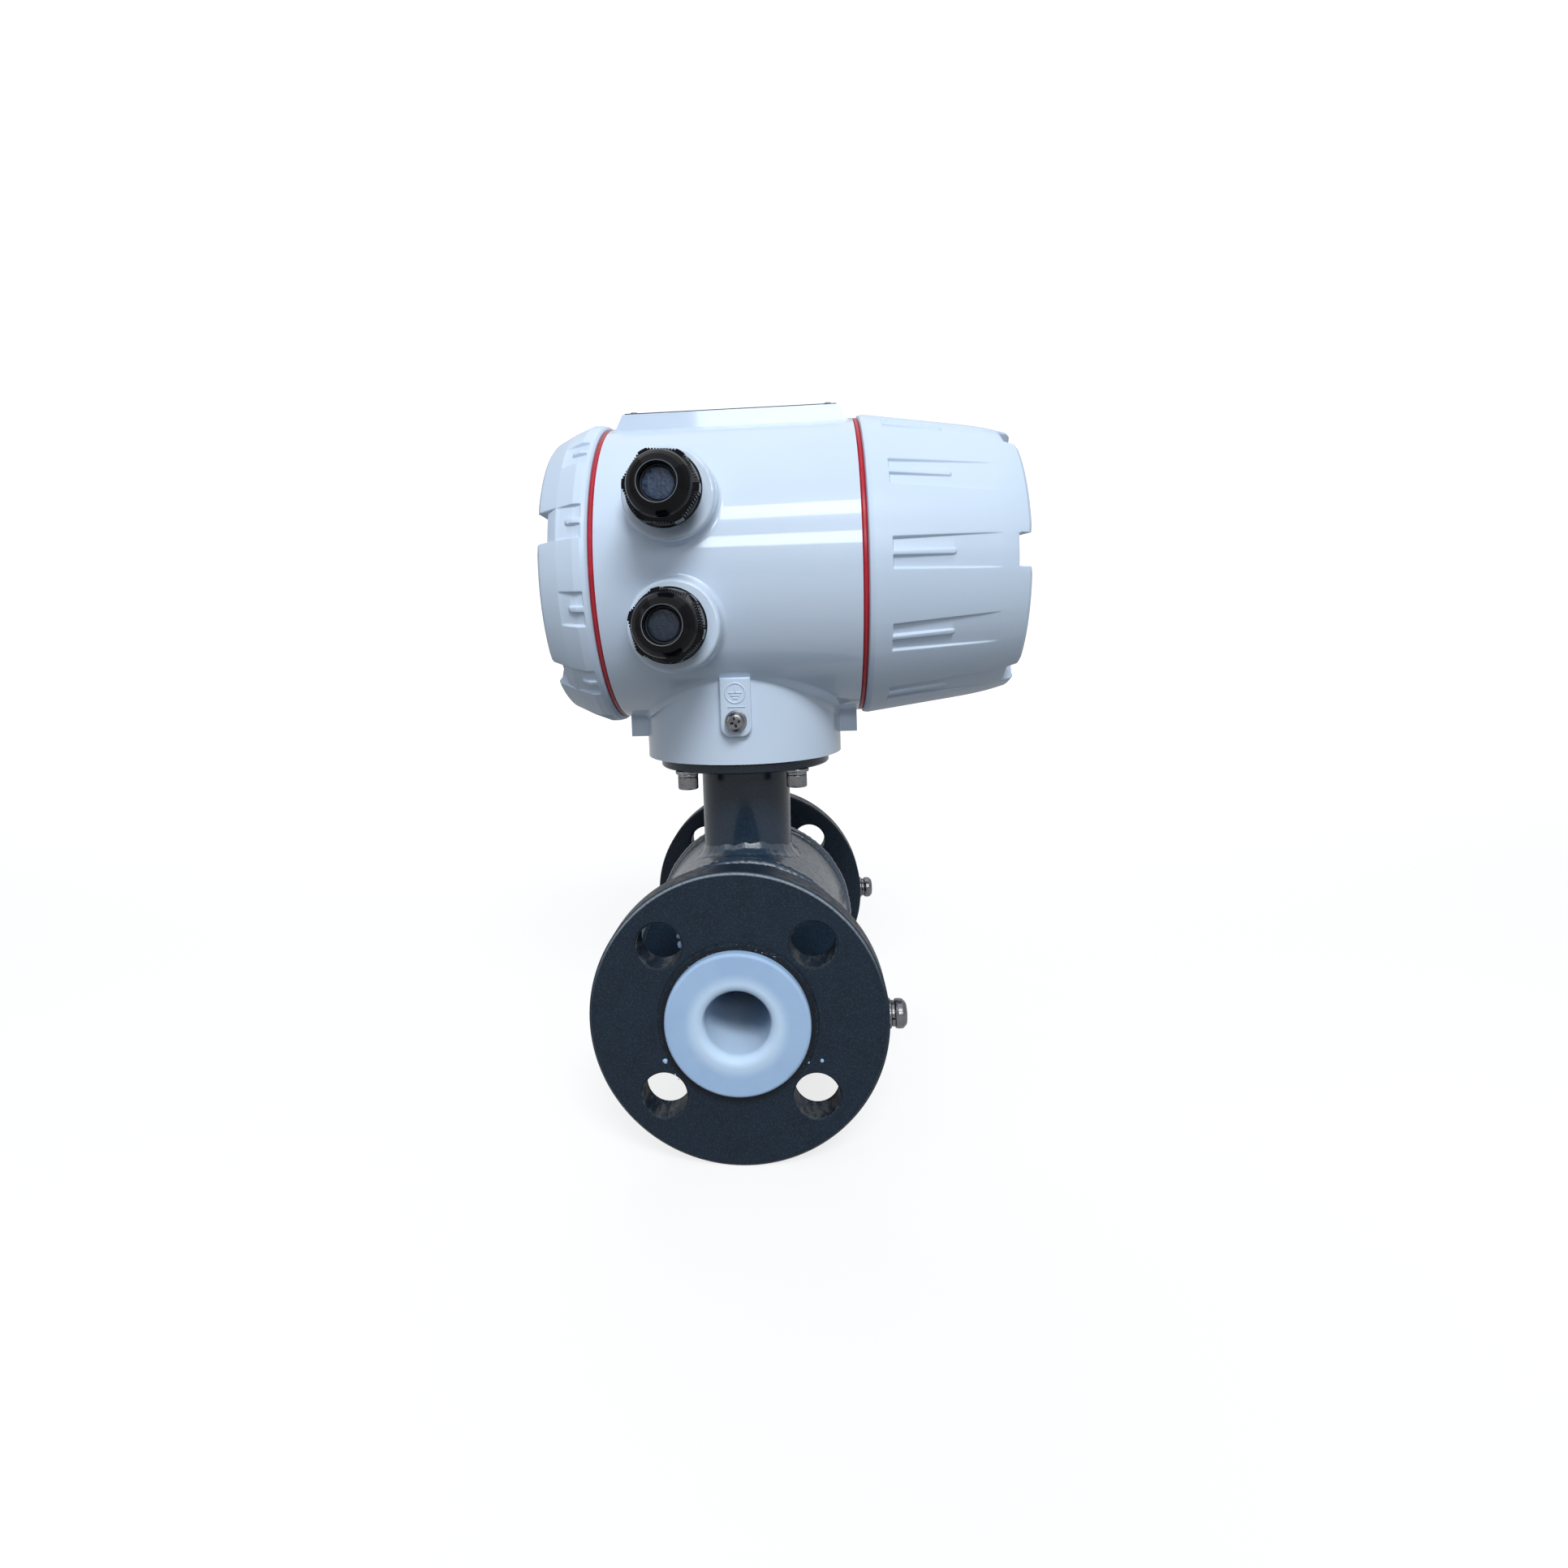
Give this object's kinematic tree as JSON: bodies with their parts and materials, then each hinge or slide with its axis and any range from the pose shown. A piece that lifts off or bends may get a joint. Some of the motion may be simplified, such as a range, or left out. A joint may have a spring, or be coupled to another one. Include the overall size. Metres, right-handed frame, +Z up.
{
  "type": "electromagnetic flow meter",
  "caption": "Flanged electromagnetic flow meter with a lined measuring tube, a coil housing and a two-compartment converter head on a neck.",
  "frame": {"origin": "middle of the measuring tube, where its axis meets the axis of the neck", "axes": "+Y along the flow from the inlet flange to the outlet flange, +Z up the neck to the head, +X along the head towards the windowed cover"},
  "size_m": [0.2152, 0.208, 0.3302],
  "materials": {
    "sensor_paint": "gloss hammer-finish enamel",
    "head_paint": "gloss enamel on die-cast aluminium",
    "red_gasket": "smooth red sealing rubber",
    "neck_gasket": "black sealing rubber",
    "liner": "waxy fluoropolymer",
    "gland_plastic": "black nylon",
    "gland_rubber": "blue-grey rubber",
    "zinc_screws": "bright zinc plate",
    "steel_screws": "dull steel",
    "inner_steel": "bare steel",
    "plate": "thin blank plate, dark",
    "copper": "enamelled winding wire",
    "insulation": "white insulating sleeve",
    "window": "clear toughened glass",
    "panel": "dark grey panel",
    "screen": "grey-green liquid crystal",
    "keys": "grey rubber",
    "board": "green laminate",
    "terminal": "green moulded block",
    "lead": "insulated wire"
  },
  "bodies": {
    "root": {"inlet_flange": "sensor_paint", "outlet_flange": "sensor_paint", "flange_welds": "sensor_paint", "flow_tube": "sensor_paint", "coil_housing": "sensor_paint", "housing_end_plates": "sensor_paint", "housing_welds": "sensor_paint", "neck_tube": "sensor_paint", "neck_weld": "sensor_paint", "neck_plate": "sensor_paint", "converter_housing": "head_paint", "neck_gasket": "neck_gasket", "tube_liner": "liner", "gland_bodies": "gland_plastic", "gland_seals": "gland_rubber", "gland_gaskets": "gland_rubber", "gland_discs": "gland_rubber", "flange_earth_screws": "zinc_screws", "flange_earth_spring_washers": "zinc_screws", "flange_earth_washers": "zinc_screws", "earth_screw": "zinc_screws", "earth_spring_washer": "zinc_screws", "earth_washer": "zinc_screws", "name_plate_rivets": "zinc_screws", "terminal_screws": "zinc_screws", "electrode_nuts": "zinc_screws", "neck_cap_screws": "steel_screws", "neck_spring_washers": "steel_screws", "neck_washers": "steel_screws", "cover_lock_screws": "steel_screws", "electrodes": "inner_steel", "pole_cores": "inner_steel", "flux_yoke": "inner_steel", "board_posts": "inner_steel", "name_plate": "plate", "field_coils": "copper", "electrode_sleeves": "insulation", "display_panel": "panel", "display_screen": "screen", "power_board": "board", "main_board": "board", "display_board": "board", "terminal_block": "terminal", "sensor_leads": "lead"},
    "front_seal": {"front_gasket": "red_gasket"},
    "front_cover": {"front_cover": "head_paint", "window_glass": "window", "window_seal": "neck_gasket", "window_retainer": "steel_screws"},
    "rear_seal": {"rear_gasket": "red_gasket"},
    "rear_cover": {"rear_cover": "head_paint"},
    "upper_slip_ring": {"upper_gland_slip_ring": "gland_plastic"},
    "upper_nut": {"upper_gland_nut": "gland_plastic"},
    "lower_slip_ring": {"lower_gland_slip_ring": "gland_plastic"},
    "lower_nut": {"lower_gland_nut": "gland_plastic"},
    "key_1": {"display_key_1": "keys"},
    "key_2": {"display_key_2": "keys"},
    "key_3": {"display_key_3": "keys"},
    "key_4": {"display_key_4": "keys"}
  },
  "joints": [
    {"name": "front_cover_travel", "type": "slide", "parent": "root", "child": "front_seal", "axis": [1, 0, 0], "range_m": [0, 0.015]},
    {"name": "front_cover_turn", "type": "hinge", "parent": "front_seal", "child": "front_cover", "pos_m": [0.08, 0, 0.1915], "axis": [1, 0, 0], "range_deg": [0, 1800]},
    {"name": "rear_cover_travel", "type": "slide", "parent": "root", "child": "rear_seal", "axis": [-1, 0, 0], "range_m": [0, 0.015]},
    {"name": "rear_cover_turn", "type": "hinge", "parent": "rear_seal", "child": "rear_cover", "pos_m": [-0.07, 0, 0.1915], "axis": [-1, 0, 0], "range_deg": [0, 1800]},
    {"name": "upper_nut_travel", "type": "slide", "parent": "root", "child": "upper_slip_ring", "axis": [0, -1, 0], "range_m": [0, 0.012]},
    {"name": "upper_nut_turn", "type": "hinge", "parent": "upper_slip_ring", "child": "upper_nut", "pos_m": [-0.023, -0.098, 0.2191], "axis": [0, -1, 0], "range_deg": [0, 2880]},
    {"name": "lower_nut_travel", "type": "slide", "parent": "root", "child": "lower_slip_ring", "axis": [0, -1, 0], "range_m": [0, 0.012]},
    {"name": "lower_nut_turn", "type": "hinge", "parent": "lower_slip_ring", "child": "lower_nut", "pos_m": [-0.023, -0.098, 0.1639], "axis": [0, -1, 0], "range_deg": [0, 2880]},
    {"name": "key_1_press", "type": "slide", "parent": "root", "child": "key_1", "axis": [-1, 0, 0], "range_m": [0, 0.001], "stiffness_N_per_m": 300},
    {"name": "key_2_press", "type": "slide", "parent": "root", "child": "key_2", "axis": [-1, 0, 0], "range_m": [0, 0.001], "stiffness_N_per_m": 300},
    {"name": "key_3_press", "type": "slide", "parent": "root", "child": "key_3", "axis": [-1, 0, 0], "range_m": [0, 0.001], "stiffness_N_per_m": 300},
    {"name": "key_4_press", "type": "slide", "parent": "root", "child": "key_4", "axis": [-1, 0, 0], "range_m": [0, 0.001], "stiffness_N_per_m": 300}
  ],
  "couplings": [
    {"joint": "front_cover_travel", "follows": "front_cover_turn", "m_per_rad": 0.00047746},
    {"joint": "rear_cover_travel", "follows": "rear_cover_turn", "m_per_rad": 0.00047746},
    {"joint": "upper_nut_turn", "follows": "upper_nut_travel", "rad_per_m": 4188.8},
    {"joint": "lower_nut_turn", "follows": "lower_nut_travel", "rad_per_m": 4188.8}
  ]
}
